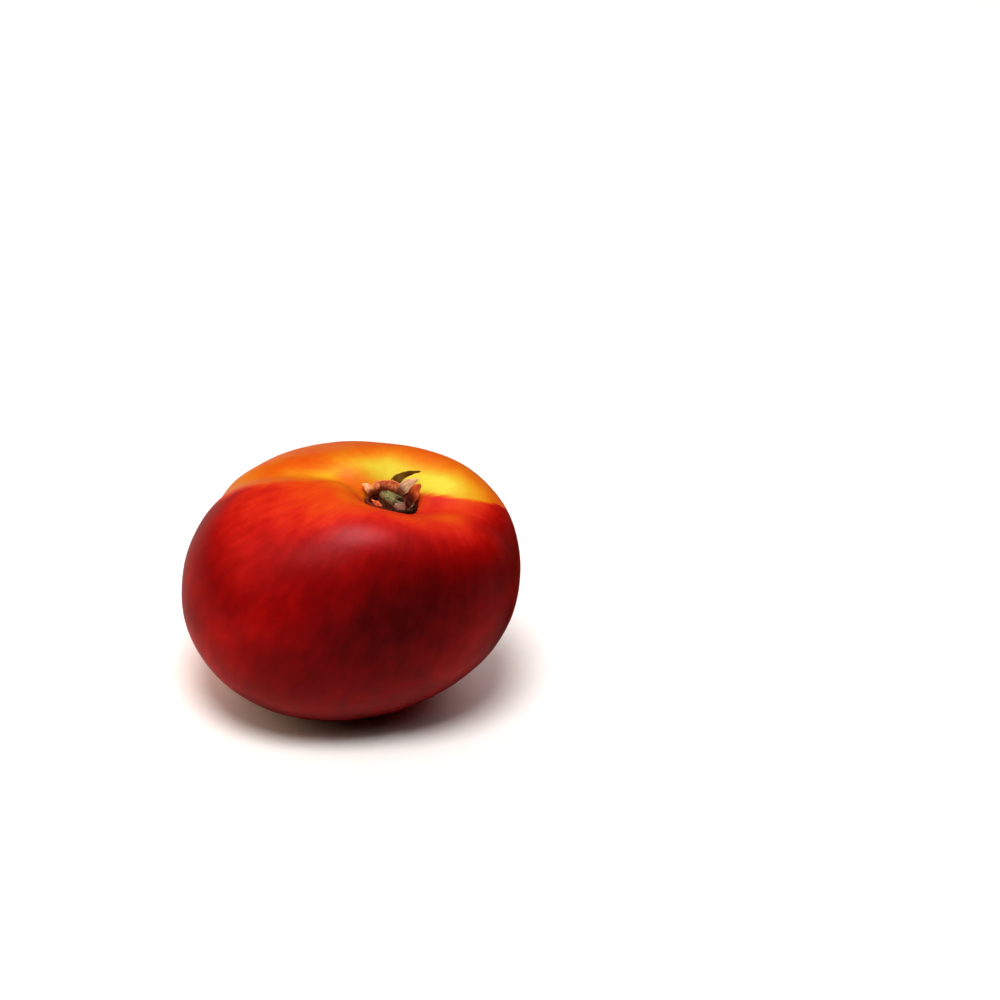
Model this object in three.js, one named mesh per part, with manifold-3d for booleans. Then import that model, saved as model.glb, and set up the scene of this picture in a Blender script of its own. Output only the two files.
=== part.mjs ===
// A nectarine at rest: the fruit with its stem cavity, suture and tip, the oval woody stub
// of its stem, and the dried bud scales that stand round the stub.
// Resting frame: millimetres, +Z up, origin at the middle of the small flat it rests on.
import * as THREE from 'three';
import { mergeVertices } from 'three/addons/utils/BufferGeometryUtils.js';
import Module from 'manifold-3d';

const wasm = await Module();
wasm.setup();

// ---------------------------------------------------------------- driving dimensions

// The fruit's own axes. W runs up the stem, U towards the suture, V towards the near cheek.
const W = new THREE.Vector3(0.337, -0.190, 0.922).normalize();
const SUTURE_SIDE = new THREE.Vector3(-0.834, 0.381, 0);
const U = SUTURE_SIDE.clone().addScaledVector(W, -SUTURE_SIDE.dot(W)).normalize();
const V = new THREE.Vector3().crossVectors(W, U);
const CENTRE = new THREE.Vector3(0.51, 0.29, 27.25);   // fruit centre above the rest flat

// Ellipsoid the fruit starts from, half sizes along U, V and W.
const HALF_U = 31.0;
const HALF_V = 30.9;
const HALF_W = 29.4;
// Swellings of that ellipsoid, as fractions of its radius.
const LEAN = -0.254;          // fuller at the back of the stem end and the front of the tip end
const BELLY = -0.042;         // rounds the back, draws in the suture side
const TAPER = 0.033;          // draws the tip end in
const SHOULDER_OVAL = 0.058;  // stem end wider along U, tip end wider along V
const THREE_LOBE = -0.0425;   // slightly three-sided seen down the stem

// Stem cavity: an oval funnel, longer towards the back than towards the suture.
const CAVITY_DEPTH = 11.5;
const CAVITY_SHIFT = -1.2;    // centre of the funnel along U
const CAVITY_LONG = 11.3;     // half length along U, before the suture side is shortened
const CAVITY_SHORTEN = 1.7;
const CAVITY_WIDE = 9.4;      // half width along V
const CAVITY_STEEPNESS = 2.5;

// Soft hills and hollows round the cavity: [height, U, V, half length, half width, skew].
const SHOULDERS = [
  [1.1, -4.0, 14.5, 10.0, 6.0, 0],    // near shoulder
  [0.3, -4.0, -14.5, 10.0, 6.0, 0],   // far shoulder
  [-2.3, -17.0, 0, 10.0, 5.5, 0.2],   // saddle where the cavity runs out to the back
];

// Suture: a furrow from the cavity down one side to the tip.
const SUTURE_WIDTH = 3.4;
const SUTURE_DEPTH_AT_CAVITY = 1.8;
const SUTURE_DEPTH_ON_SIDE = 0.75;
// Tip: a shallow dimple with a small point in it.
const TIP_DIMPLE = 1.0;

// Facets of the fruit.
const FRUIT_ROWS = 48;
const FRUIT_COLUMNS = 84;

// Stub: axis leans back towards the suture; its top is a broken, hollowed end.
const SEAT_GAP = 0.55;        // clearance between the fruit and what sits on it
const STUB_TOP = [-0.4, 0, 23.2];
const STUB_LEAN_DEG = 10;
const STUB_HEIGHT = 3.6;
const STUB_HALF_U = 2.7;
const STUB_HALF_V = 1.9;

// Collar at the foot of the bud scales: an oval ring round the stub.
const COLLAR_CENTRE = [-0.4, -0.1];
const COLLAR_INNER = [3.9, 2.6];
const COLLAR_WALL = 1.1;
const COLLAR_HEIGHT = 1.5;

// Bud scales: [turn round the collar in degrees, tip at U, V, W, width, bulge outwards].
// 0 degrees faces the suture, 90 degrees the near cheek.
const SCALES = [
  [-118, -2.1, -4.3, 28.0, 5.4, 0.5],
  [-152, -4.0, -2.8, 27.0, 4.0, 0.5],
  [-74, -0.5, -3.9, 25.8, 5.2, 0.3],
  [-32, 3.6, -2.9, 22.9, 3.8, 0.3],
  [4, 6.3, 0.1, 21.6, 3.0, 0.1],
  [170, -6.5, 0.6, 25.0, 3.2, 0.1],
  [112, -3.2, 3.5, 24.4, 3.2, 0.2],
  [62, 1.9, 3.3, 22.4, 3.0, 0.2],
];
const SCALE_THICKNESS = 0.9;
const SCALE_TIP = 0.7;

// ---------------------------------------------------------------- the fruit's surface

const RAD = Math.PI / 180;

function smooth(from, to, x) {
  const t = Math.min(1, Math.max(0, (x - from) / (to - from)));
  return t * t * (3 - 2 * t);
}

// Distance from the fruit's centre to its skin, in the direction given by the angle from
// the stem axis and the turn round it, both in radians.
function skinRadius(fromStem, turn) {
  const x = Math.sin(fromStem) * Math.cos(turn);
  const y = Math.sin(fromStem) * Math.sin(turn);
  const z = Math.cos(fromStem);
  const ellipsoid = 1 / Math.hypot(x / HALF_U, y / HALF_V, z / HALF_W);
  const swelling = 1 + LEAN * x * z + BELLY * (5 * z * z - 1) * x
    + TAPER * (5 * z ** 3 - 3 * z) / 2 + SHOULDER_OVAL * (x * x - y * y) * z
    + THREE_LOBE * x * (x * x - 3 * y * y);
  const r = ellipsoid * swelling;
  const u = r * x;
  const v = r * y;
  const deg = fromStem / RAD;

  const stemEnd = smooth(0.05, 0.45, z);
  const along = u - CAVITY_SHIFT;
  const halfLength = CAVITY_LONG - CAVITY_SHORTEN * Math.tanh(along / 5);
  const out = Math.hypot(along / halfLength, v / CAVITY_WIDE);
  let relief = -CAVITY_DEPTH * Math.exp(-(out ** CAVITY_STEEPNESS));
  for (const [height, u0, v0, length, width, skew] of SHOULDERS) {
    relief += height * Math.exp(-(((u - u0) / length) ** 2) - ((v - v0 - skew * u) / width) ** 2);
  }
  relief *= stemEnd;

  const furrow = SUTURE_DEPTH_AT_CAVITY * Math.exp(-(((deg - 28) / 24) ** 2))
    + SUTURE_DEPTH_ON_SIDE * smooth(0, 60, deg) * (1 - 0.6 * smooth(100, 150, deg))
      * (1 - smooth(168, 180, deg));
  relief -= furrow * Math.exp(-((v / SUTURE_WIDTH) ** 2)) * smooth(-1, 5, u);
  relief -= TIP_DIMPLE * (Math.exp(-(((180 - deg) / 12) ** 2))
    - Math.exp(-(((180 - deg) / 3) ** 2)));
  return r + relief;
}

// A point given along U, V and W, in the resting frame.
function place(u, v, w) {
  return CENTRE.clone().addScaledVector(U, u).addScaledVector(V, v).addScaledVector(W, w);
}

// The point at a height above the skin, in the direction of (u, v, w) from the centre.
function aboveSkin(u, v, w, height) {
  const length = Math.hypot(u, v, w);
  const r = skinRadius(Math.acos(w / length), Math.atan2(v, u)) + height;
  return place(u * r / length, v * r / length, w * r / length);
}

// ---------------------------------------------------------------- making solids

// A closed skin of rings between two poles. The rings run down from the first pole and
// turn anticlockwise seen from it.
function closedSkin(firstPole, rings, lastPole) {
  const n = rings[0].length;
  const points = [firstPole, ...rings.flat(), lastPole];
  const last = points.length - 1;
  const at = (ring, j) => 1 + ring * n + (j % n);
  const index = [];
  for (let j = 0; j < n; j++) {
    index.push(0, at(0, j), at(0, j + 1));
    index.push(last, at(rings.length - 1, j + 1), at(rings.length - 1, j));
    for (let i = 0; i < rings.length - 1; i++) {
      index.push(at(i, j), at(i + 1, j), at(i + 1, j + 1));
      index.push(at(i, j), at(i + 1, j + 1), at(i, j + 1));
    }
  }
  const geometry = new THREE.BufferGeometry();
  geometry.setAttribute('position',
    new THREE.Float32BufferAttribute(points.flatMap((p) => p.toArray()), 3));
  geometry.setIndex(index);
  return geometry;
}

// A closed ring whose cross-section is a loop of points: sections[j] is the loop at turn j.
function ringSkin(sections) {
  const m = sections[0].length;
  const n = sections.length;
  const at = (j, k) => (j % n) * m + (k % m);
  const index = [];
  for (let j = 0; j < n; j++) {
    for (let k = 0; k < m; k++) {
      index.push(at(j, k), at(j, k + 1), at(j + 1, k + 1));
      index.push(at(j, k), at(j + 1, k + 1), at(j + 1, k));
    }
  }
  const geometry = new THREE.BufferGeometry();
  geometry.setAttribute('position',
    new THREE.Float32BufferAttribute(sections.flat().flatMap((p) => p.toArray()), 3));
  geometry.setIndex(index);
  return geometry;
}

function toSolid(geometry) {
  const bare = geometry.clone();
  bare.deleteAttribute('normal');
  bare.deleteAttribute('uv');
  const merged = mergeVertices(bare);
  return new wasm.Manifold(new wasm.Mesh({
    numProp: 3,
    vertProperties: new Float32Array(merged.attributes.position.array),
    triVerts: new Uint32Array(merged.index.array),
  }));
}

function toGeometry(solid) {
  const mesh = solid.getMesh();
  const geometry = new THREE.BufferGeometry();
  geometry.setAttribute('position', new THREE.Float32BufferAttribute(mesh.vertProperties, 3));
  geometry.setIndex(new THREE.BufferAttribute(mesh.triVerts, 1));
  return geometry;
}

const group = new THREE.Group();
group.name = 'nectarine';

function addNode(name, geometry, colour, roughness) {
  geometry.computeVertexNormals();
  const material = new THREE.MeshStandardMaterial({ color: colour, roughness });
  const mesh = new THREE.Mesh(geometry, material);
  mesh.name = name;
  group.add(mesh);
}

// ---------------------------------------------------------------- the fruit

// Rows crowd together in the cavity and columns at the suture, where the skin bends most.
function fruitSkin() {
  const ring = (i) => Array.from({ length: FRUIT_COLUMNS }, (_, j) => {
    const s = j / FRUIT_COLUMNS;
    const turn = 2 * Math.PI * s - 0.45 * Math.sin(2 * Math.PI * s);
    const fromStem = Math.PI * (i / FRUIT_ROWS) ** 1.35;
    const sin = Math.sin(fromStem);
    return aboveSkin(sin * Math.cos(turn), sin * Math.sin(turn), Math.cos(fromStem), 0);
  });
  const rings = Array.from({ length: FRUIT_ROWS - 1 }, (_, i) => ring(i + 1));
  return closedSkin(aboveSkin(0, 0, 1, 0), rings, aboveSkin(0, 0, -1, 0));
}

// The rest flat: everything below the ground plane is cut away.
const below = new THREE.BoxGeometry(100, 100, 20).translate(0, 0, -10);
addNode('nectarine_fruit', toGeometry(toSolid(fruitSkin()).subtract(toSolid(below))),
  0xb3161a, 0.35);

// ---------------------------------------------------------------- the stub

// Its foot follows the cavity floor; above that come the bark, the ragged rim and the
// hollow of broken fibres.
function stubSkin() {
  const columns = 32;
  const lean = STUB_LEAN_DEG * RAD;
  const [topU, topV, topW] = STUB_TOP;
  // a point of the stub at a share of its height and a share of its half widths
  const point = (turn, share, height) => {
    const drop = STUB_HEIGHT * (1 - height);
    const across = STUB_HALF_U * share * Math.cos(turn);
    return place(
      topU + across * Math.cos(lean) - drop * Math.sin(lean),
      topV + STUB_HALF_V * share * Math.sin(turn),
      topW - across * Math.sin(lean) - drop * Math.cos(lean));
  };
  const footU = topU - STUB_HEIGHT * Math.sin(lean);
  const foot = (turn, share) => aboveSkin(
    footU + STUB_HALF_U * share * Math.cos(turn), topV + STUB_HALF_V * share * Math.sin(turn),
    topW - STUB_HEIGHT, SEAT_GAP);
  const ragged = (turn, size) => size
    * (Math.sin(2 * turn + 0.6) + 0.6 * Math.sin(5 * turn + 1.9) + 0.4 * Math.sin(9 * turn));
  const ring = (make) => Array.from({ length: columns },
    (_, j) => make(2 * Math.PI * j / columns));
  const rings = [
    ring((t) => point(t, 0.30, 0.80 + ragged(t + 1, 0.03))),
    ring((t) => point(t, 0.58, 0.78 + ragged(t + 2, 0.04))),
    ring((t) => point(t, 0.72, 0.98 + ragged(t, 0.05))),
    ring((t) => point(t, 0.90, 1.00 + ragged(t, 0.05))),
    ring((t) => point(t, 1.00, 0.88 + ragged(t, 0.04))),
    ring((t) => point(t, 0.94, 0.62)),
    ring((t) => point(t, 0.98, 0.38)),
    ring((t) => foot(t, 1.00)),
    ring((t) => foot(t, 0.50)),
  ];
  return closedSkin(point(0, 0, 0.86), rings, foot(0, 0));
}
addNode('stem_stub', stubSkin(), 0x57503a, 0.9);

// ---------------------------------------------------------------- the bud scales

// Middle line of the collar at a turn, as offsets along U and V.
const collarLine = (turn, out) => [
  COLLAR_CENTRE[0] + (COLLAR_INNER[0] + out) * Math.cos(turn),
  COLLAR_CENTRE[1] + (COLLAR_INNER[1] + out) * Math.sin(turn),
];
const COLLAR_SIGHT = 21.5;     // distance up the stem axis at which those offsets are laid out

function collarSkin() {
  const columns = 40;
  const sections = Array.from({ length: columns }, (_, j) => {
    const turn = 2 * Math.PI * j / columns;
    const height = COLLAR_HEIGHT * (1 + 0.16 * Math.sin(5 * turn + 0.8) + 0.1 * Math.sin(9 * turn));
    const at = (out, up) => aboveSkin(...collarLine(turn, out), COLLAR_SIGHT, SEAT_GAP + up);
    return [at(0.1, 0), at(0, 0.5 * height), at(0.3, height), at(0.3 + 0.75, height),
      at(COLLAR_WALL + 0.1, 0.5 * height), at(COLLAR_WALL, 0)];
  });
  return ringSkin(sections);
}

// One scale: a pointed blade that leaves the collar upright and bends over to its tip.
function scaleSkin([turnDeg, tipU, tipV, tipW, width, bulge]) {
  const stations = 8;
  const sides = 10;
  const turn = turnDeg * RAD;
  const [u0, v0] = collarLine(turn, 0.45);
  const root = aboveSkin(u0, v0, COLLAR_SIGHT, SEAT_GAP + 0.8);
  const tip = place(tipU, tipV, tipW);
  const outwards = place(Math.cos(turn), Math.sin(turn), 0).sub(CENTRE).normalize();
  const bend = root.clone().lerp(tip, 0.5).addScaledVector(outwards, bulge);
  const line = new THREE.QuadraticBezierCurve3(root, bend, tip);
  const across = place(-COLLAR_INNER[0] * Math.sin(turn), COLLAR_INNER[1] * Math.cos(turn), 0)
    .sub(CENTRE).normalize();
  const ring = (i) => {
    const t = i / stations;
    const centre = line.getPoint(t);
    const along = line.getTangent(t);
    const side = across.clone().addScaledVector(along, -across.dot(along)).normalize();
    const face = new THREE.Vector3().crossVectors(along, side);
    const halfWidth = 0.5 * (SCALE_TIP + (width - SCALE_TIP)
      * Math.sin(Math.PI * (0.22 + 0.78 * t)));
    const halfThick = 0.5 * (SCALE_THICKNESS + (SCALE_TIP - SCALE_THICKNESS) * t);
    return Array.from({ length: sides }, (_, j) => {
      const a = 2 * Math.PI * j / sides;
      // the edges curl inwards, like a shallow spoon
      return centre.clone().addScaledVector(side, halfWidth * Math.cos(a))
        .addScaledVector(face, halfThick * Math.sin(a) + 0.12 * width * Math.cos(a) ** 2 * (1 - t));
    });
  };
  // rings run from the tip down to the root
  const rings = Array.from({ length: stations }, (_, i) => ring(stations - i));
  return closedSkin(tip, rings, root);
}

let scales = toSolid(collarSkin());
for (const scale of SCALES) scales = scales.add(toSolid(scaleSkin(scale)));
addNode('bud_scales', toGeometry(scales), 0x6b3a28, 0.85);

export default group;
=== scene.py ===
"""A nectarine at rest on a pale floor: its skin, the stub of its stem and the dried bud scales
round the stub. The formulas work in millimetres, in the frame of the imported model."""

import bpy
import numpy as np
from mathutils import Matrix, Vector


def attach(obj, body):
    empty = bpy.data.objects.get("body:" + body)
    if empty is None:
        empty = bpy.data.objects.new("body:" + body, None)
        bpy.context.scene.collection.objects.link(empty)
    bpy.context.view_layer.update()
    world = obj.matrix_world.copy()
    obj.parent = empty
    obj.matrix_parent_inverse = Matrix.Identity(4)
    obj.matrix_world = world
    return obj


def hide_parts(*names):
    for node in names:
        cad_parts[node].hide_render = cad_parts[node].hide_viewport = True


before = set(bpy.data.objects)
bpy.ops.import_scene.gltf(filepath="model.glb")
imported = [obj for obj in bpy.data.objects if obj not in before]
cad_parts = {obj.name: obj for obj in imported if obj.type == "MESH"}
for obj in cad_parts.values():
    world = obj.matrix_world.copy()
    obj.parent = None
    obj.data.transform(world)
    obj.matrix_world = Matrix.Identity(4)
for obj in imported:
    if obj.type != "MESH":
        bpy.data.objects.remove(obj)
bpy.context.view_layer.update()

# ------------------------------------------------------------------ the fruit's skin
# The ripe fruit: one body of flesh under a thin waxy skin, grown with a cavity round its stem,
# a suture down one side and a small tip. The cheek that hung in the sun is crimson to maroon,
# and the side that hung in the shade is yellow and orange. Its weight holds it on a small flat.

# its own axes in the resting frame: u towards the suture, v towards the near cheek, w up the
# stem, all from its centre
stem_axis = np.array([0.337, -0.190, 0.922])
stem_axis /= np.linalg.norm(stem_axis)
suture_side = np.array([-0.834, 0.381, 0.0])
suture_side -= suture_side @ stem_axis * stem_axis
suture_side /= np.linalg.norm(suture_side)
fruit_axes = np.stack([suture_side, np.cross(stem_axis, suture_side), stem_axis])
fruit_centre = np.array([0.51, 0.29, 27.25])

half_u, half_v, half_w = 31.0, 30.9, 29.4        # of the ellipsoid that it starts from
cavity_depth = 11.5
cavity_half_width = 9.4                          # across the suture
cavity_u = -1.2                                  # its middle, away from the suture
near_shoulder_rise, far_shoulder_rise = 1.1, 0.3
saddle_depth = 2.3
furrow_half_width = 3.4
tip_dimple_depth = 1.0


def smooth(start, end, x):
    """0 up to start, 1 past end, and 3t² − 2t³ between them, t being the share of the way."""
    t = np.clip((x - start) / (end - start), 0, 1)
    return t * t * (3 - 2 * t)


def hill(x, middle, width):
    """1 in the middle, falling off as exp(−((x − middle) / width)²)."""
    return np.exp(-((x - middle) / width) ** 2)


def skin_radius(from_stem, turn):
    """Distance in mm from the fruit's centre to its skin: the ellipsoid, times 1 plus five low
    spherical waves, less an oval funnel exp(−out^2.5) for the stem cavity, plus a shoulder on
    each side of it and less a saddle behind it, less a furrow exp(−(v / 3.4)²) along the
    suture, less a dimple with a point in it at the tip."""
    x, y = np.sin(from_stem) * np.cos(turn), np.sin(from_stem) * np.sin(turn)
    z = np.cos(from_stem)
    ellipsoid = 1 / np.sqrt((x / half_u) ** 2 + (y / half_v) ** 2 + (z / half_w) ** 2)
    r = ellipsoid * (1 - 0.254 * x * z - 0.042 * (5 * z * z - 1) * x
                     + 0.033 * (5 * z ** 3 - 3 * z) / 2 + 0.058 * (x * x - y * y) * z
                     - 0.0425 * x * (x * x - 3 * y * y))
    u, v, deg = r * x, r * y, np.degrees(from_stem)
    half_length = 11.3 - 1.7 * np.tanh((u - cavity_u) / 5)
    out = np.hypot((u - cavity_u) / half_length, v / cavity_half_width)
    relief = (-cavity_depth * np.exp(-out ** 2.5)
              + near_shoulder_rise * hill(u, -4.0, 10.0) * hill(v, 14.5, 6.0)
              + far_shoulder_rise * hill(u, -4.0, 10.0) * hill(v, -14.5, 6.0)
              - saddle_depth * hill(u, -17.0, 10.0) * hill(v, 0.2 * u, 5.5))
    relief = relief * smooth(0.05, 0.45, z)      # all these are on the stem's half
    furrow = (1.8 * hill(deg, 28, 24) + 0.75 * smooth(0, 60, deg)
              * (1 - 0.6 * smooth(100, 150, deg)) * (1 - smooth(168, 180, deg)))
    relief -= furrow * hill(v, 0, furrow_half_width) * smooth(-1, 5, u)
    relief -= tip_dimple_depth * (hill(deg, 180, 12) - hill(deg, 180, 3))
    return r + relief


def place(u, v, w):
    """The point u, v and w mm along the fruit's three axes from its centre."""
    return fruit_centre + np.stack(np.broadcast_arrays(u, v, w), -1) @ fruit_axes


def above_skin(u, v, w, height):
    """The point in the direction (u, v, w) from the centre whose distance from it is that of
    the skin there plus a height in mm."""
    length = np.sqrt(u * u + v * v + w * w)
    r = (skin_radius(np.arccos(w / length), np.arctan2(v, u)) + height) / length
    return place(u * r, v * r, w * r)


def away_from(middle, points):
    """Each point's distance from the middle: the root of the sum of its three offsets²."""
    return np.sqrt(sum((a - b) ** 2 for a, b in zip(points, middle)))


def tube_faces(rings, columns, start=0, closed_round=False):
    """Faces of a grid of points numbered ring by ring: quads between each ring and the next,
    and where the tube isn't closed on itself, a fan to the pole before it and the one after."""
    first = start + (0 if closed_round else 1)

    def at(ring, column):
        """Number of the point in that column of that ring, both counted round."""
        return (first + (ring % rings) * columns + column % columns).ravel()

    i, j = np.meshgrid(np.arange(rings if closed_round else rings - 1), np.arange(columns),
                       indexing="ij")
    quads = np.stack([at(i, j), at(i + 1, j), at(i + 1, j + 1), at(i, j + 1)], -1)
    if closed_round:
        return quads.tolist()
    j = np.arange(columns)
    i = 0 * j
    last = first + rings * columns
    top = np.stack([np.full(columns, start), at(i, j), at(i, j + 1)], -1)
    end = np.stack([np.full(columns, last), at(i + rings - 1, j + 1), at(i + rings - 1, j)], -1)
    return quads.tolist() + top.tolist() + end.tolist()


def make_piece(name, points, faces, attributes):
    """A smooth mesh object in metres from points in mm. Each attribute holds one number or
    one vector for each point."""
    mesh = bpy.data.meshes.new(name)
    mesh.from_pydata((np.asarray(points) * 0.001).tolist(), [], faces)
    mesh.polygons.foreach_set("use_smooth", np.ones(len(mesh.polygons), bool))
    for key, values in attributes.items():
        values = np.asarray(values, np.float32)
        kind, field = ("FLOAT", "value") if values.ndim == 1 else ("FLOAT_VECTOR", "vector")
        mesh.attributes.new(key, kind, "POINT").data.foreach_set(field, values.ravel())
    piece = bpy.data.objects.new(name, mesh)
    bpy.context.scene.collection.objects.link(piece)
    return piece


# rows crowd together in the cavity and columns at the suture, where the skin bends most
rows, columns = 260, 360
row_crowding, column_crowding = 1.35, 0.45
even_turn = 2 * np.pi * (np.arange(columns) / columns)
turn = (even_turn - column_crowding * np.sin(even_turn))[None, :]
from_stem = np.pi * (np.arange(1, rows) / rows)[:, None] ** row_crowding
from_stem, turn = [a.ravel() for a in np.broadcast_arrays(from_stem, turn)]
from_stem = np.concatenate([[0], from_stem, [np.pi]])
turn = np.concatenate([[0], turn, [0]])
x, y = np.sin(from_stem) * np.cos(turn), np.sin(from_stem) * np.sin(turn)
z = np.cos(from_stem)
deg = np.degrees(from_stem)
# a grown skin is never quite even: waves of about 0.05 mm, 8 to 14 mm from crest to crest
uneven = 0.03 * (np.sin(17 * x + 3 * y + 1) + np.sin(13 * y - 9 * z + 2)
                 + np.sin(19 * z + 5 * x) * np.sin(11 * y + 2))
uneven *= smooth(15, 40, deg)
# the near shoulder swells by 0.9 mm over 10 mm in front of the cavity, and the lips of the
# suture by 0.5 mm over 6 mm, half way down the side; the distances are on a ball of 31 mm
on_ball = (31 * x, 31 * y, 31 * z)
shoulder_swell = 0.9 * hill(away_from((3, 21, 22.7), on_ball), 0, 10.0)
lips_swell = 0.5 * hill(away_from((30, -2, 3), on_ball), 0, 6.0)
skin_points = above_skin(x, y, z, uneven + shoulder_swell + lips_swell)
skin_points[:, 2] = np.maximum(skin_points[:, 2], 0)        # the flat it rests on
r = skin_radius(from_stem, turn)
u, v, w = r * x, r * y, r * z

# How far each side has coloured: 0 is the yellow ground, 1 the deepest maroon.
# The sunny side deepens away from the cavity, quickly on the cheek and slowly by the suture,
# and is darkest in a patch behind the middle of the cheek. Painted shade deepens it further at
# its rim away from the suture and close to the ground, and a painted highlight pales the crest
# of the cavity's near lip.
cheek_turn = np.degrees((turn + np.pi) % (2 * np.pi) - np.pi)
deepening = 27 + 60 * smooth(85, 30, np.abs(cheek_turn))    # degrees it takes, from 26
sunny = (0.425 + 0.34 * smooth(0, 1, (deg - 26) / deepening)
         + 0.20 * hill(u, -14, 11) * hill(w, 14, 14) * smooth(-2, 8, v)
         # painted shade: the last term deepens the rim away from the suture
         + 0.12 * smooth(-11, -20, u) * smooth(14, 26, w) + 0.14 * smooth(-29, -33, u)
         + 0.06 * smooth(24, 31, u) + 0.05 * smooth(5, -10, w) * smooth(10, 0, u)
         - 0.10 * smooth(4, 16, u) * smooth(3, -5, w)
         # painted highlight: the last term pales the crest of the cavity's near lip
         - 0.06 * smooth(-4, -15, w) - 0.06 * hill(deg, 23, 4.5) * smooth(-2, 4, v)
         # painted shade: deeper within 12 mm of the ground
         + 0.14 * smooth(12, 6, skin_points[:, 2]))
# smaller patches make it uneven: each has its middle, its width in mm and how much deeper it is
for middle, width, deeper in [
        ((19, 24, 7), 8, -0.08), ((23, 23, 1), 8, 0.06), ((13, 25, 9), 5, -0.04),
        ((26, 11, 8), 6, -0.05), ((7, 31, 3), 4, -0.07), ((15, 30, 2), 5, 0.03),
        ((-5, 29, 4), 9, 0.05), ((-31, 9, 13), 5, -0.06), ((-26, 15, 11), 4, -0.03),
        ((-29, 11, 5), 6, -0.08), ((-24, 17, 14), 7, 0.07), ((-8, 17, 26), 7, 0.07),
        ((-13, 15, 27), 6, 0.09), ((0, 16, 26), 4, 0.06), ((-2, 12, 27), 4, 0.05),
        ((-7, -1, 25), 3, 0.07), ((-8.5, -4, 26), 2.5, 0.08), ((-8, 15, 28), 2.8, 0.07),
        ((-18, 6, 29), 4, -0.06), ((-20, -8, 27), 5, -0.07), ((20, 26, -9), 7, 0.045),
        ((9.5, 24, 14), 4.5, -0.045), ((-4, 23, 18), 4.5, -0.035)]:
    sunny = sunny + deeper * hill(away_from(middle, (u, v, w)), 0, width)
# The shaded side is yellowest on the far wall of the cavity, along a line 7 mm from the suture's
# that bends in towards it, and turns orange, then red, away from there. The skin is more orange
# where the suture runs into the cavity and again 20 mm along it, and paler between and beyond.
line_of_yellow = -7.0 + 4.0 * smooth(3, 13, u)
far_out = ((np.maximum(u - 4, 0) / 8.5) ** 2 + (np.maximum(-7 - u, 0) / 8) ** 2
           + ((v - line_of_yellow) / np.where(v < line_of_yellow, 3.3, 4.2)) ** 2)
shaded = (0.02 + 0.30 * (1 - np.exp(-far_out)) + 0.26 * smooth(15, 22, -v)
          + 0.22 * smooth(30, 40, np.hypot(u, 1.6 * v)) + 0.20 * smooth(2, -14, w)
          + 0.10 * hill(u, 7.5, 3) * hill(v, -1.5, 2) - 0.06 * hill(u, -6, 4) * hill(v, -6, 2)
          + 0.07 * hill(u, 20, 5) * hill(v, -3, 3) - 0.08 * hill(u, 29, 4) * hill(v, -2, 4)
          - 0.10 * hill(v, -0.8, 1.6) * smooth(10, 13, u) * smooth(25, 20, u))
# The line between the two sides runs beside the suture, dips past the stub and curves away to
# the far side behind it, and wavers on the lower half. "edge" is the distance from it, as a
# share of half its softness, which is 0.6 mm behind the cavity and 2.8 mm by the suture.
boundary_v = (-4.3 + 9.2 * smooth(-6, 10, u) + 0.4 * smooth(14, 20, u)
              - 0.24 * (np.maximum(-u, 0) / 9) ** 4.4
              + 2.0 * smooth(8, -4, w) * np.sin(0.3 * w + 0.1 * u))
edge = (v - boundary_v) / (0.6 + 2.2 * smooth(-4, 10, u))
# this mask is 1 on the cork under the stub and the scales, which is dark there also as
# painted shade in the hollow, and on the point of the tip
scar_and_shade = 1 - smooth(3.6, 5.4, np.hypot(u + 0.4, v * 1.3) + 3.0 * (w < 0))
# "open_skin" grows to 1 out of the cavity, and brings in the streaks and the shine
open_skin = smooth(15, 42, deg)
stripe = np.stack([np.cos(turn), np.sin(turn), 0.3 * from_stem], -1)
skin = make_piece("fruit_skin", skin_points, tube_faces(rows - 1, columns), {
    "edge": edge, "sunny": sunny, "shaded": shaded, "scar_and_shade": scar_and_shade, "open_skin": open_skin,
    "stripe": stripe})


def linear(hex_colour):
    """An sRGB colour like "#a80c0c" as linear red, green, blue and an alpha of 1: each c is
    c / 12.92 up to 0.04045 and ((c + 0.055) / 1.055)^2.4 above it."""
    c = np.array([int(hex_colour[i:i + 2], 16) for i in (1, 3, 5)]) / 255
    return [*np.where(c <= 0.04045, c / 12.92, ((c + 0.055) / 1.055) ** 2.4), 1.0]


def add(material, kind, inputs, stops=None, **settings):
    """Adds a shader node. inputs gives each input, by name or number, its value or the output
    that feeds it; stops are a colour ramp's places and colours; settings are its own options.
    By number, a Mix has its share at 0 and what it mixes at 2 and 3, or 6 and 7 for colours,
    and a MapRange takes the range 1 to 2 to the range 3 to 4."""
    tree = material.node_tree
    node = tree.nodes.new("ShaderNode" + kind)
    for key, value in settings.items():
        setattr(node, key, value)
    for key, value in inputs.items():
        if isinstance(value, bpy.types.NodeSocket):
            tree.links.new(value, node.inputs[key])
        else:
            node.inputs[key].default_value = value
    if stops:
        ramp = node.color_ramp
        while len(ramp.elements) < len(stops):
            ramp.elements.new(0.5)
        for element, (position, colour) in zip(ramp.elements, stops):
            element.position = position
            element.color = linear(colour)
    return node


def new_material(name):
    """A material of that name with no nodes yet."""
    material = bpy.data.materials.new(name)
    material.use_nodes = True
    material.node_tree.nodes.clear()
    return material


def place_in_mm(material):
    """The place on the piece in mm: its Object coordinates times 1000."""
    place_in_m = add(material, "TexCoord", {}).outputs["Object"]
    return add(material, "VectorMath", {0: place_in_m, 3: 1000.0}, operation="SCALE").outputs[0]


# Fruit skin: a tough cuticle with a thin bloom of wax over it, so it shines softly, with broad
# highlights. Under it the ground is yellow, and red pigment lies over that in fine streaks
# that run from stem to tip.
wax = new_material("waxy_nectarine_skin")
skin_place = place_in_mm(wax)
edge_here, sunny_here, shaded_here, scar_and_shade_here, open_skin_here = [
    add(wax, "Attribute", {}, attribute_name=field).outputs["Fac"]
    for field in ("edge", "sunny", "shaded", "scar_and_shade", "open_skin")]
stripe_place = add(wax, "Attribute", {}, attribute_name="stripe").outputs["Vector"]
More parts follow.
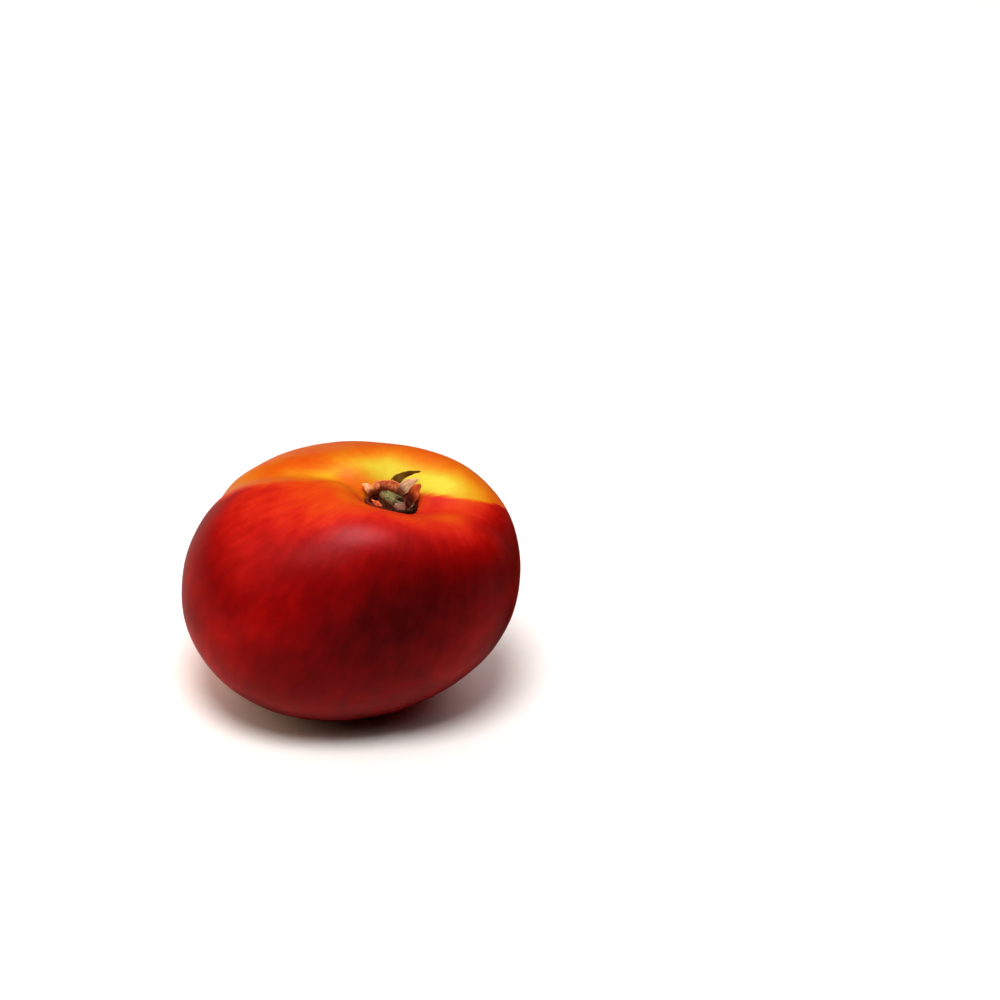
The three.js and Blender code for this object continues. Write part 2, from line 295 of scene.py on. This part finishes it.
# streaks about 1.7 mm wide at the widest part of the fruit, three times as long, and flecks
# a third of that size among them
streaks = add(wax, "TexNoise", {"Vector": stripe_place, "Scale": 18.0, "Detail": 2.5,
                                "Roughness": 0.5, "Distortion": 0.4}).outputs["Fac"]
# clouds of colour 6 mm across, mottled down to under 1 mm
clouds = add(wax, "TexNoise", {"Vector": skin_place, "Scale": 1 / 6, "Detail": 4.0,
                               "Roughness": 0.6}).outputs["Fac"]
# the edge of the sunny side wanders by a third of its softness
wander = add(wax, "MapRange", {
    "Value": streaks, 1: 0.3, 2: 0.7, 3: -0.35, 4: 0.35}).outputs[0]
wandering_edge = add(wax, "Math", {0: edge_here, 1: wander}, operation="ADD").outputs[0]
in_sun = add(wax, "MapRange", {"Value": wandering_edge, 1: -1.0, 2: 1.0, 3: 0.0, 4: 1.0},
             interpolation_type="SMOOTHSTEP").outputs[0]
colouring = add(wax, "Mix", {0: in_sun, 2: shaded_here, 3: sunny_here}).outputs[0]
streak_push = add(wax, "MapRange", {
    "Value": streaks, 1: 0.3, 2: 0.7, 3: -0.028, 4: 0.028}).outputs[0]
streak_push = add(wax, "Math", {0: streak_push, 1: open_skin_here},
                  operation="MULTIPLY").outputs[0]
cloud_push = add(wax, "MapRange", {
    "Value": clouds, 1: 0.3, 2: 0.7, 3: -0.045, 4: 0.045}).outputs[0]
for push in (streak_push, cloud_push):
    colouring = add(wax, "Math", {0: colouring, 1: push}, operation="ADD").outputs[0]
skin_colour = add(wax, "ValToRGB", {"Fac": colouring}, stops=[
    (0.0, "#ccc034"), (0.07, "#c8a724"), (0.14, "#ca9218"), (0.21, "#cc7c12"),
    (0.27, "#ca690e"), (0.34, "#c8560a"), (0.42, "#c63c0c"), (0.50, "#bd2410"),
    (0.57, "#a8120a"), (0.66, "#8c0704"), (0.76, "#740303"), (0.86, "#5c0203"),
    (0.95, "#480203"), (1.0, "#3a0102")]).outputs["Color"]
# cork-brown scar where the scales and the stub stand, and at the tip; under the scales its
# dark is also painted shade in the hollow
skin_colour = add(wax, "Mix", {0: scar_and_shade_here, 6: skin_colour, 7: linear("#4e1c0c")},
                  data_type="RGBA").outputs[2]
# pores 0.6 mm apart dimple it very lightly
pores = add(wax, "TexNoise", {"Vector": skin_place, "Scale": 1.6, "Detail": 2.0}).outputs["Fac"]
dimpling = add(wax, "Bump", {"Height": pores, "Strength": 0.06, "Distance": 0.0004})
# the wax is thinner and duller down in the cavity
dullness = add(wax, "MapRange", {
    "Value": open_skin_here, 1: 0.0, 2: 1.0, 3: 0.6, 4: 0.32}).outputs[0]
skin_shader = add(wax, "BsdfPrincipled", {
    "Base Color": skin_colour, "Roughness": dullness, "IOR": 1.45,
    "Specular IOR Level": 0.06, "Specular Tint": (1.0, 0.45, 0.5, 1.0),
    "Normal": dimpling.outputs["Normal"]})
add(wax, "OutputMaterial", {"Surface": skin_shader.outputs[0]})
skin.data.materials.append(wax)
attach(skin, "root")
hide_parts("nectarine_fruit")

# ------------------------------------------------------------------ the stub of the stem
# What is left of the woody stem after picking: an oval stub in the floor of the cavity, with
# bark round it and a broken, pitted end of grey-green fibres. It grows out of the fruit.

stub_half_u, stub_half_v, stub_height = 2.7, 1.9, 3.6
stub_u, stub_top = -0.4, 23.2                    # the middle of its end
stub_foot_w = 19.6                               # about where its axis meets the skin
stub_lean = np.radians(10)                       # towards the suture
sunk = 0.1                                       # how far its foot goes into the skin
stub_columns = 128
stub_turn = 2 * np.pi * np.arange(stub_columns) / stub_columns


def stub_point(share, height):
    """The stub's ring at a share of its half widths and of its height: an oval across its
    leaning axis, which comes down from the middle of its end."""
    drop, across = stub_height * (1 - height), stub_half_u * share * np.cos(stub_turn)
    return place(stub_u + across * np.cos(stub_lean) - drop * np.sin(stub_lean),
                 stub_half_v * share * np.sin(stub_turn),
                 stub_top - across * np.sin(stub_lean) - drop * np.cos(stub_lean))


def stub_foot(share):
    """The stub's ring on the skin of the cavity floor: the oval at the foot of its axis, moved
    along the lines from the fruit's centre until it is sunk in the skin."""
    foot_u = stub_u - stub_height * np.sin(stub_lean)
    return above_skin(foot_u + stub_half_u * share * np.cos(stub_turn),
                      stub_half_v * share * np.sin(stub_turn), stub_foot_w + 0 * stub_turn,
                      -sunk)


def ragged(turn, size):
    """Uneven rim: three waves round the turn, 2, 5 and 9 to the circle."""
    return size * (np.sin(2 * turn + 0.6) + 0.6 * np.sin(5 * turn + 1.9)
                   + 0.4 * np.sin(9 * turn))


def refine(rings, steps):
    """Catmull-Rom curves through the rings, point by point: each gap is cut in steps by
    (−t+2t²−t³)/2, (2−5t²+3t³)/2, (t+4t²−3t³)/2 and (−t²+t³)/2 of its four nearest rings."""
    p = np.concatenate([2 * rings[:1] - rings[1:2], rings, 2 * rings[-1:] - rings[-2:-1]])
    t = (np.arange(steps) / steps)[None, :, None, None]
    a, b, c, d = [q[:, None] for q in (p[:-3], p[1:-2], p[2:-1], p[3:])]
    fine = ((-t + 2 * t ** 2 - t ** 3) * a + (2 - 5 * t ** 2 + 3 * t ** 3) * b
            + (t + 4 * t ** 2 - 3 * t ** 3) * c + (-t ** 2 + t ** 3) * d) / 2
    return np.concatenate([fine.reshape(-1, *rings.shape[1:]), rings[-1:]])


def broken_end(share):
    """Height of the broken end as a share of the stub's: 0.95, with two waves of 0.03 that make
    knobs, less a pit 0.32 deep towards the far side, less 0.05 share⁴ towards the rim."""
    a, b = share * np.cos(stub_turn), share * np.sin(stub_turn)
    return (0.95 + 0.03 * np.sin(6 * a + 1) * np.sin(5 * b + 2) + 0.03 * np.sin(9 * b - 4 * a)
            - 0.32 * hill(np.hypot(a + 0.55, b + 0.35), 0, 0.42) - 0.05 * share ** 4)


pole_share = 0.04                                # the rings go this near to the axis
stub_rings = np.stack(
    [stub_point(share, broken_end(share)) for share in (pole_share, 0.30, 0.55, 0.76)]
    + [stub_point(0.90, broken_end(0.90) - 0.02 + ragged(stub_turn, 0.02)),
       stub_point(0.99, 0.82 + ragged(stub_turn, 0.04)),
       stub_point(0.94, 0.62), stub_point(0.98, 0.38)]
    + [stub_foot(share) for share in (1.04, 0.5, pole_share)])
ring_steps = 6
stub_grid = refine(stub_rings, ring_steps)
stub_count = len(stub_grid)
# 0 in the middle of the end, 1 at its rim, 2 at the foot of the bark, 3 under the stub
stub_zone = np.interp(np.arange(stub_count) / ring_steps, [0, 4, 8, 10], [0, 1, 2, 3])
# ridges, 20 and 33 to the circle, stand out by up to 0.1 mm on the bark and 0.16 mm on the end
bark_ridge, end_ridge = 0.06, 0.10
outward = stub_grid - stub_grid.mean(1, keepdims=True)
outward /= np.linalg.norm(outward, axis=-1, keepdims=True) + 1e-9
ridge = (np.sin(20 * stub_turn[None, :] + 1.3 * np.sin(1.1 * stub_zone[:, None] * 3))
         + 0.6 * np.sin(33 * stub_turn[None, :] + 2 + 2 * np.sin(2 * stub_zone[:, None])))
on_bark = (smooth(0.9, 1.2, stub_zone) * (1 - smooth(1.9, 2.1, stub_zone)))[:, None, None]
on_end = (smooth(0.15, 0.5, stub_zone) * (1 - smooth(0.95, 1.15, stub_zone)))[:, None, None]
stub_grid = (stub_grid + bark_ridge * ridge[..., None] * on_bark * outward
             + end_ridge * ridge[..., None] * on_end * stem_axis)
# a pole closes each end; "pitted" is 1 where the broken end is lower than 0.72 of the height
stub_points = np.concatenate([
    [stub_grid[0].mean(0)], stub_grid.reshape(-1, 3), [stub_grid[-1].mean(0)]])
stub_zones = np.concatenate([[0], np.repeat(stub_zone, stub_columns), [3]])
stub_turns = np.concatenate([[0], np.tile(stub_turn, stub_count), [0]])
end_share = np.interp(stub_zone, [0, 1, 3], [pole_share, 0.9, 0.9])
end_height = np.stack([broken_end(share) for share in end_share])
pitted = np.where(stub_zone[:, None] < 1.1, smooth(0.9, 0.72, end_height), 0)
stub = make_piece("stub_wood", stub_points, tube_faces(stub_count, stub_columns), {
    "zone": stub_zones, "pitted": np.concatenate([[0], pitted.ravel(), [0]]),
    "grain": np.stack([np.cos(stub_turns), np.sin(stub_turns), 0.25 * stub_zones], -1)})

# Dry stem wood: dull grey-green fibres with brown and pinkish blotches at the broken end,
# painted shade in its pit, and a thin brown bark with cracks along it.
wood = new_material("dry_stem_wood")
wood_place = place_in_mm(wood)
zone_here, pit_shade_here = [add(wood, "Attribute", {}, attribute_name=field).outputs["Fac"]
                          for field in ("zone", "pitted")]
grain_place = add(wood, "Attribute", {}, attribute_name="grain").outputs["Vector"]
# fibres about 0.3 mm apart round the 14 mm of the stub
fibres = add(wood, "TexNoise", {
    "Vector": grain_place, "Scale": 9.0, "Detail": 3.0}).outputs["Fac"]
# blotches 1.2 mm across
blotches = add(wood, "TexNoise", {
    "Vector": wood_place, "Scale": 1 / 1.2, "Detail": 2.0}).outputs["Fac"]
zone_share = add(wood, "Math", {0: zone_here, 1: 3.0}, operation="DIVIDE").outputs[0]
wood_colour = add(wood, "ValToRGB", {"Fac": zone_share}, stops=[
    (0.0, "#98945c"), (0.26, "#8a8456"), (0.34, "#6a5838"),
    (0.42, "#7a4424"), (0.66, "#542410")]).outputs["Color"]
fibre_tone = add(wood, "ValToRGB", {"Fac": fibres}, stops=[
    (0.35, "#807058"), (0.62, "#ffffff")]).outputs["Color"]
blotch_tone = add(wood, "ValToRGB", {"Fac": blotches}, stops=[
    (0.34, "#382c20"), (0.46, "#ccccb8"), (0.58, "#ffffff"), (0.68, "#ffccd0")]).outputs["Color"]
for tone, share in ((fibre_tone, 0.6), (blotch_tone, 0.8)):
    wood_colour = add(wood, "Mix", {0: share, 6: wood_colour, 7: tone}, data_type="RGBA",
                      blend_type="MULTIPLY").outputs[2]
# painted shade: nearly black down in the pit of the broken end
wood_colour = add(wood, "Mix", {0: pit_shade_here, 6: wood_colour, 7: linear("#2a0e08")},
                  data_type="RGBA").outputs[2]
wood_relief = add(wood, "Bump", {"Height": fibres, "Strength": 0.6, "Distance": 0.0002})
wood_shader = add(wood, "BsdfPrincipled", {
    "Base Color": wood_colour, "Roughness": 0.9, "IOR": 1.5, "Specular IOR Level": 0.04,
    "Normal": wood_relief.outputs["Normal"]})
add(wood, "OutputMaterial", {"Surface": wood_shader.outputs[0]})
stub.data.materials.append(wood)
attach(stub, "root")
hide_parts("stem_stub")

# ------------------------------------------------------------------ the dried bud scales
# The scales that held the flower bud, dried to brown paper: pointed blades on an oval collar
# round the stub. They grew from the foot of the stem and are still joined to it.

collar_half_u, collar_half_v = 3.9, 2.6          # of the collar's inner edge
collar_u, collar_v, collar_w = -0.4, -0.1, 21.5  # its middle
collar_rise = 1.5                                # above the skin
collar_columns = 160


def collar_line(turn, out):
    """u and v on the collar's oval at that turn, the oval's half sizes grown by out mm."""
    return (collar_u + (collar_half_u + out) * np.cos(turn),
            collar_v + (collar_half_v + out) * np.sin(turn))


collar_turn = 2 * np.pi * np.arange(collar_columns) / collar_columns
collar_height = collar_rise * (1 + 0.16 * np.sin(5 * collar_turn + 0.8)
                               + 0.1 * np.sin(9 * collar_turn))
# the collar's section, point by point: how far out, the share of its height, and how sunk
collar_loop = []
for out, up, drop in [(0.2, 0, sunk), (0.0, 0.25, 0), (0.1, 0.6, 0), (0.35, 0.95, 0),
                      (0.6, 1.0, 0), (0.9, 0.93, 0), (1.1, 0.6, 0), (1.25, 0.25, 0),
                      (1.15, 0, sunk)]:
    lift = up * collar_height + 0.07 * up * np.sin(31 * collar_turn + 3 * up) - drop
    loop_u, loop_v = collar_line(collar_turn, out + 0.05 * np.sin(23 * collar_turn + 4 * up))
    collar_loop.append(above_skin(loop_u, loop_v, collar_w + 0 * loop_u, lift))
# the loop runs round the collar's section and the columns round the stub
collar_points = np.stack(collar_loop).reshape(-1, 3)
scale_points = [collar_points]
scale_faces = [f[::-1] for f in tube_faces(len(collar_loop), collar_columns,
                                           closed_round=True)]
scale_across = [np.tile(collar_turn * 2, len(collar_loop))]
# the collar is terracotta beside the suture and has weathered to grey on the other side, and
# painted shade makes it as dark all round as a blade is close to its root
collar_tone = 0.42 + 0.42 * hill(collar_turn, 0.5, 0.7) - 0.33 * hill(collar_turn, 2.6, 0.5)
scale_tone = [np.tile(collar_tone, len(collar_loop))]
scale_along = [np.full(len(collar_points), 0.12)]
blade_steps, blade_sides = 31, 28
root_out, root_rise = 0.45, 0.9                  # where a blade leaves the collar


def blade(root_turn, bend, tip, width):
    """A pointed blade along the curve t²tip + 2t(1−t)bend + (1−t)²root from the collar, at that
    turn in degrees. Its width is 0.35 mm plus sin(π(0.22 + 0.78t)) of the rest, with a wavy
    edge. Its section is a thin lens, 0.54 mm thick at the root and 0.34 mm at the tip, whose
    edges curl in like a spoon, with seven veins raised along it."""
    turn = np.radians(root_turn)
    root = above_skin(*collar_line(turn, root_out), collar_w, root_rise)
    bend, tip = place(*bend), place(*tip)
    t = np.linspace(1, 0, blade_steps)[1:-1, None]
    middle = (1 - t) ** 2 * root + 2 * t * (1 - t) * bend + t ** 2 * tip
    along = 2 * (1 - t) * (bend - root) + 2 * t * (tip - bend)
    along /= np.linalg.norm(along, axis=1, keepdims=True)
    across = np.array([-collar_half_u * np.sin(turn), collar_half_v * np.cos(turn), 0])
    across = across @ fruit_axes
    side = across - (along @ across)[:, None] * along
    side /= np.linalg.norm(side, axis=1, keepdims=True)
    face = np.cross(along, side)
    a = 2 * np.pi * np.arange(blade_sides) / blade_sides
    half_width = 0.5 * (0.35 + (width - 0.35) * np.sin(np.pi * (0.22 + 0.78 * t)))
    half_width = half_width * (1 + 0.07 * np.sin(17 * t + root_turn) + 0.04 * np.sin(41 * t))
    curl = (0.12 * width * np.cos(a) ** 2 * (1 - t)
            + 0.10 * np.sin(9 * t + root_turn) * np.cos(a) ** 3)
    veins = 0.02 * np.cos(7 * np.pi * np.cos(a)) * np.sign(np.sin(a)) * np.abs(np.sin(a)) ** 0.5
    thick = (0.27 - 0.10 * t) * np.sin(a) + veins + curl
    rings = (middle[:, None] + side[:, None] * (half_width * np.cos(a))[..., None]
             + face[:, None] * thick[..., None])
    points = np.concatenate([[tip], rings.reshape(-1, 3), [root]])
    along_share = np.concatenate([[1], np.repeat(t[:, 0], blade_sides), [0]])
    across_share = np.concatenate([[0], np.tile(np.cos(a), len(rings)), [0]])
    return points, len(rings), along_share, across_share


# each blade: its turn round the collar, the bend and the tip of its curve, its width, and its
# tone, from grey at 0 through olive, brown and terracotta to peach at 1
for root_turn, bend, tip, width, tone in [
        (-75, (2.4, -4.6, 24.4), (-2.5, -5.0, 28.0), 1.8, 0.2),
        (-68, (1.4, -3.2, 23.4), (1.6, -3.0, 24.0), 5.6, 0.64),
        (-98, (-0.8, -3.6, 24.6), (-3.0, -3.2, 27.4), 2.3, 1.04),
        (-140, (-3.4, -2.6, 25.4), (-4.1, -2.6, 27.0), 3.2, 0.46),
        (-40, (3.6, -1.9, 22.3), (4.3, -1.9, 22.4), 3.4, 0.72),
        (-14, (4.9, -0.6, 21.8), (6.2, -0.3, 21.3), 1.8, 0.86),
        (176, (-4.8, 0.0, 23.0), (-4.8, 0.2, 24.4), 2.4, 0.1),
        (118, (-3.2, 2.6, 23.4), (-3.3, 1.8, 24.6), 2.6, 0.0),
        (66, (1.2, 3.2, 22.0), (1.6, 3.0, 22.4), 3.2, 0.62)]:
    points, ring_count, along_share, across_share = blade(root_turn, bend, tip, width)
    scale_faces += tube_faces(ring_count, blade_sides, start=sum(map(len, scale_points)))
    scale_points.append(points)
    scale_along.append(along_share)
    scale_across.append(across_share)
    scale_tone.append(np.full(len(points), tone))
scales = make_piece("dried_scales", np.concatenate(scale_points), scale_faces, {
    "along": np.concatenate(scale_along), "across": np.concatenate(scale_across),
    "tone": np.concatenate(scale_tone)})

# Dried bud scale: dull papery skin, olive, brown, terracotta or peach from one scale to the
# next, painted nearly black near its root as shade down in the hollow, with darker fibres along
# it and paler patches where it has peeled.
paper = new_material("papery_bud_scale")
paper_place = place_in_mm(paper)
along_here, across_here, tone_here = [
    add(paper, "Attribute", {}, attribute_name=field).outputs["Fac"]
    for field in ("along", "across", "tone")]
# fibres run along the blade, 12 across it and 3 along it
half_along = add(paper, "Math", {0: along_here, 1: 0.5}, operation="MULTIPLY").outputs[0]
fibre_place = add(paper, "CombineXYZ", {0: across_here, 1: half_along, 2: tone_here}).outputs[0]
scale_fibres = add(paper, "TexNoise", {
    "Vector": fibre_place, "Scale": 6.0, "Detail": 3.0}).outputs["Fac"]
# peeled patches 1.5 mm across
peeling = add(paper, "TexNoise", {
    "Vector": paper_place, "Scale": 1 / 1.5, "Detail": 3.0}).outputs["Fac"]
peel_push = add(paper, "MapRange", {
    "Value": peeling, 1: 0.3, 2: 0.7, 3: -0.08, 4: 0.08}).outputs[0]
peeled_tone = add(paper, "Math", {0: tone_here, 1: peel_push}, operation="ADD").outputs[0]
scale_colour = add(paper, "ValToRGB", {"Fac": peeled_tone}, stops=[
    (0.0, "#a07868"), (0.08, "#5c5a48"), (0.15, "#7c5c14"), (0.28, "#6e440c"),
    (0.42, "#c4541e"), (0.64, "#f08454"), (0.84, "#ffa868"), (1.0, "#ffdcb0")]).outputs["Color"]
# painted shade: blades and collar darken to nearly black at the root, down in the hollow
root_shade = add(paper, "ValToRGB", {"Fac": along_here}, stops=[
    (0.0, "#402018"), (0.25, "#8c5c4c"), (0.5, "#ffffff"), (0.9, "#fcf4e8"),
    (1.0, "#d8c4a8")]).outputs["Color"]
fibre_shade = add(paper, "ValToRGB", {"Fac": scale_fibres}, stops=[
    (0.35, "#b8a090"), (0.6, "#ffffff")]).outputs["Color"]
for shade, share in ((root_shade, 1.0), (fibre_shade, 0.7)):
    scale_colour = add(paper, "Mix", {0: share, 6: scale_colour, 7: shade}, data_type="RGBA",
                       blend_type="MULTIPLY").outputs[2]
scale_relief = add(paper, "Bump", {"Height": scale_fibres, "Strength": 0.5, "Distance": 0.0002})
scale_shader = add(paper, "BsdfPrincipled", {
    "Base Color": scale_colour, "Roughness": 0.75, "IOR": 1.5, "Specular IOR Level": 0.04,
    "Normal": scale_relief.outputs["Normal"]})
add(paper, "OutputMaterial", {"Surface": scale_shader.outputs[0]})
scales.data.materials.append(paper)
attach(scales, "root")
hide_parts("bud_scales")

# ------------------------------------------------------------------ floor, light and camera
# The studio: a wide white board under the fruit, whose far end glows with painted light and
# whose reflections in the skin are painted, a broad glow overhead, a soft key lamp in front of
# and above the fruit, a warm card on its left and a red one behind it.

board_reach = 6                                  # metres to each side
floor_mesh = bpy.data.meshes.new("floor")
floor_mesh.from_pydata([(-board_reach, -board_reach, 0), (board_reach, -board_reach, 0),
                        (board_reach, board_reach, 0), (-board_reach, board_reach, 0)],
                       [], [(0, 1, 2, 3)])
floor = bpy.data.objects.new("floor", floor_mesh)
bpy.context.scene.collection.objects.link(floor)

# White board: smooth fibreboard with a coat of matt paint, so it scatters light evenly and has
# no shine of its own, only a faint grain 2.5 mm across.
board = new_material("matt_white_board")
board_place = add(board, "TexCoord", {}).outputs["Object"]
board_grain = add(board, "TexNoise", {"Vector": board_place, "Scale": 400.0}).outputs["Fac"]
board_colour = add(board, "Mix", {
    0: board_grain, 6: linear("#f4f3f1"), 7: linear("#f8f7f5")}, data_type="RGBA").outputs[2]
# painted reflection: in the skin's shine the board shows grey, and dark red behind the fruit
# and to its right, standing in for fruit lying beside it; to the camera it stays white
board_x, board_y, _ = add(board, "SeparateXYZ", {0: board_place}).outputs
to_right = add(board, "MapRange", {
    "Value": board_x, 1: -0.045, 2: -0.005, 3: 0.0, 4: 1.0}).outputs[0]
behind = add(board, "MapRange", {
    "Value": board_y, 1: -0.020, 2: 0.015, 3: 0.0, 4: 1.0}).outputs[0]
painted_red_reflection = add(board, "Math", {0: to_right, 1: behind}, operation="MULTIPLY").outputs[0]
painted_reflection_colour = add(board, "Mix", {
    0: painted_red_reflection, 6: linear("#a89c98"), 7: linear("#702010")}, data_type="RGBA").outputs[2]
mirrored = add(board, "LightPath", {}).outputs["Is Glossy Ray"]
board_colour = add(board, "Mix", {0: mirrored, 6: board_colour, 7: painted_reflection_colour},
                   data_type="RGBA").outputs[2]
# from 0.1 to 0.4 m behind the fruit the board glows more and more, painted light that keeps its
# far end white
painted_far_glow = add(board, "MapRange", {
    "Value": board_y, 1: 0.10, 2: 0.40, 3: 0.0, 4: 0.14}).outputs[0]
board_shader = add(board, "BsdfPrincipled", {
    "Base Color": board_colour, "Roughness": 0.8, "Specular IOR Level": 0.0,
    "Emission Color": linear("#ffffff"), "Emission Strength": painted_far_glow})
add(board, "OutputMaterial", {"Surface": board_shader.outputs[0]})
floor_mesh.materials.append(board)

# the glow comes only from overhead, where the upward share of the way there is over 0.62; the
# camera itself sees a pale backdrop
world = bpy.data.worlds.new("studio")
bpy.context.scene.world = world
world.use_nodes = True
world.node_tree.nodes.clear()
sky_way = add(world, "TexCoord", {}).outputs["Generated"]
sky_up = add(world, "SeparateXYZ", {0: sky_way}).outputs[2]
glow = add(world, "MapRange", {"Value": sky_up, 1: 0.62, 2: 0.86, 3: 0.0, 4: 1.2},
           interpolation_type="SMOOTHSTEP").outputs[0]
backdrop_strength = 0.95
seen = add(world, "LightPath", {}).outputs["Is Camera Ray"]
strength = add(world, "Mix", {0: seen, 2: glow, 3: backdrop_strength}).outputs[0]
sky = add(world, "Background", {"Color": linear("#fff8f4"), "Strength": strength})
add(world, "OutputWorld", {"Surface": sky.outputs[0]})

# the key lamp lights and casts the shadow, the warm card on the left lets light in under the
# fruit, the red card reddens its far side, and the glint lamp shows only as the skin's
# highlight; each is an oval, its size in metres, that faces a point 30 mm above the floor
lamp_aim = Vector((0, 0, 0.03))
lamp_distance = 1.1
for lamp_name, way, size, power, colour, lights, shines in [
        ("key_lamp", (-0.04, -0.47, 0.92), (0.42, 0.42), 11.4, "#ffffff", True, False),
        ("left_card", (-0.84, 0.0, 0.54), (0.6, 1.5), 3.8, "#ffd2b0", True, False),
        ("back_card", (0.30, 0.84, 0.40), (1.3, 0.5), 1.6, "#ff4030", True, False),
        ("glint_lamp", (-0.29, -0.27, 0.92), (0.62, 0.75), 62.0, "#ffffff", False, True)]:
    lamp_data = bpy.data.lights.new(lamp_name, "AREA")
    lamp_data.shape = "ELLIPSE"
    lamp_data.size, lamp_data.size_y = size
    lamp_data.energy = power
    lamp_data.color = linear(colour)[:3]
    way = Vector(way).normalized()
    lamp = bpy.data.objects.new(lamp_name, lamp_data)
    lamp.location = lamp_aim + way * lamp_distance
    lamp.rotation_mode = "QUATERNION"
    lamp.rotation_quaternion = Vector((0, 0, 1)).rotation_difference(way)
    lamp.visible_diffuse = lights
    lamp.visible_glossy = shines
    bpy.context.scene.collection.objects.link(lamp)

# the camera looks down 30.6 degrees from 0.7 m, the fruit's centre left of and below the middle
camera_data = bpy.data.cameras.new("camera")
camera_data.sensor_width = 36.0
camera_data.lens = 126.756
camera_data.clip_start = 0.01
camera = bpy.data.objects.new("camera", camera_data)
bpy.context.scene.collection.objects.link(camera)
look_down = np.radians(30.6)
camera_distance = 0.7
right = Vector((1, 0, 0))
up = Vector((0, np.sin(look_down), np.cos(look_down)))
back = Vector((0, -np.cos(look_down), np.sin(look_down)))
camera.location = Vector(fruit_centre) * 0.001 + back * camera_distance
picture_side = 1000
fruit_pixel_x, fruit_pixel_y = 350.892, 577.669
pixels_per_unit = picture_side * camera_data.lens / camera_data.sensor_width
fruit_ray = Vector(((fruit_pixel_x - picture_side / 2) / pixels_per_unit,
                    (picture_side / 2 - fruit_pixel_y) / pixels_per_unit, -1))
aim = fruit_ray.normalized().rotation_difference(Vector((0, 0, -1)))
camera.rotation_mode = "QUATERNION"
camera.rotation_quaternion = (Matrix((right, up, back)).transposed()
                              @ aim.to_matrix()).to_quaternion()
bpy.context.scene.camera = camera
bpy.context.scene.view_settings.view_transform = "Standard"

bpy.context.view_layer.update()
